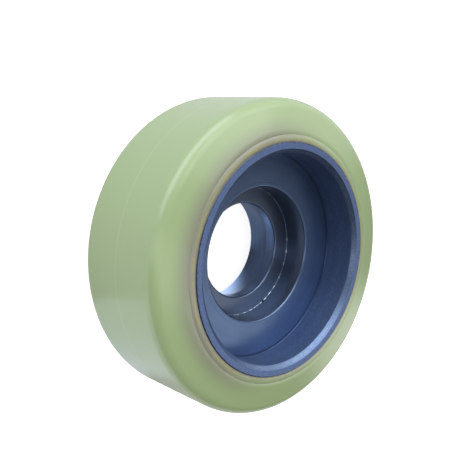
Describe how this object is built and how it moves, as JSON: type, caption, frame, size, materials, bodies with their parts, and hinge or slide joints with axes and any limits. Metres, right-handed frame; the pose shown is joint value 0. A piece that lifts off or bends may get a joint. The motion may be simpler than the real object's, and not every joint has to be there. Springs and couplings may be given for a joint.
{
  "type": "solid tyred load wheel",
  "caption": "Lift truck load wheel: turned iron hub with a deep recess, bearing seat and through bore, and a solid polyurethane tyre bonded to its rim.",
  "frame": {"origin": "centre of the lower end face of the hub, which the wheel rests on when it lies on its side", "axes": "+Z along the bore axis, out of the deep recess that holds the bearing seat; X and Y are equal"},
  "size_m": [0.285, 0.285, 0.114],
  "materials": {
    "hub_iron": "turned iron with a blue grey sheen, fine tool marks and a darker mottled recess wall",
    "tyre_polyurethane": "pale green cast polyurethane, satin gloss, amber at the bond with the rim"
  },
  "bodies": {
    "root": {"hub": "hub_iron", "tyre": "tyre_polyurethane"}
  },
  "joints": []
}
